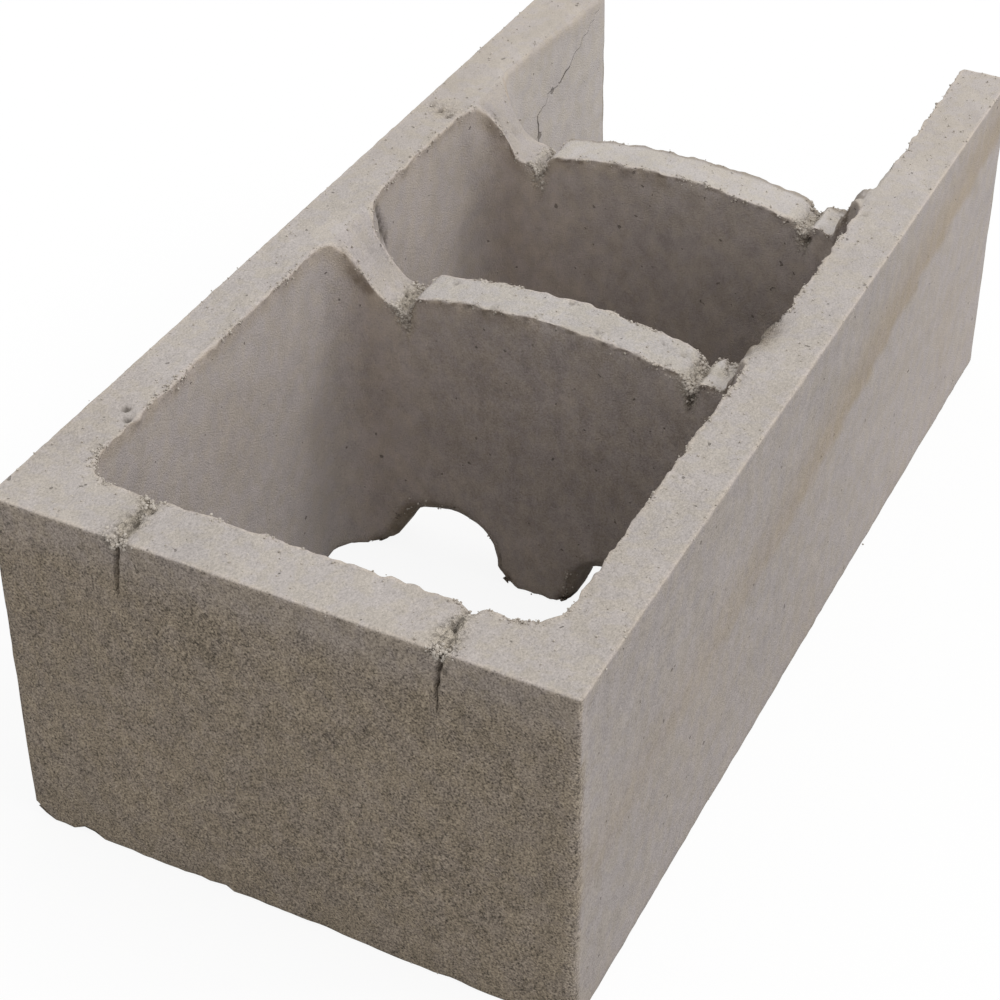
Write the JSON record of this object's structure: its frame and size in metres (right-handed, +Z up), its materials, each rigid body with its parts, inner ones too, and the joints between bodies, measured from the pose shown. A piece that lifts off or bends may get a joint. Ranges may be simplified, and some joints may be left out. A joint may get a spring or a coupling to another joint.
{
  "type": "hollow concrete shuttering block",
  "caption": "Hollow concrete shuttering block: a closed end, an open end, lowered crowned webs with arched feet, and cells open above and below.",
  "frame": {"origin": "middle of the underside, on the floor that the block stands on", "axes": "+X along the block towards its open end, +Y across it, +Z up"},
  "size_m": [0.5, 0.25, 0.17],
  "materials": {
    "concrete": "matte"
  },
  "bodies": {
    "root": {"shuttering_block": "concrete"}
  },
  "joints": []
}
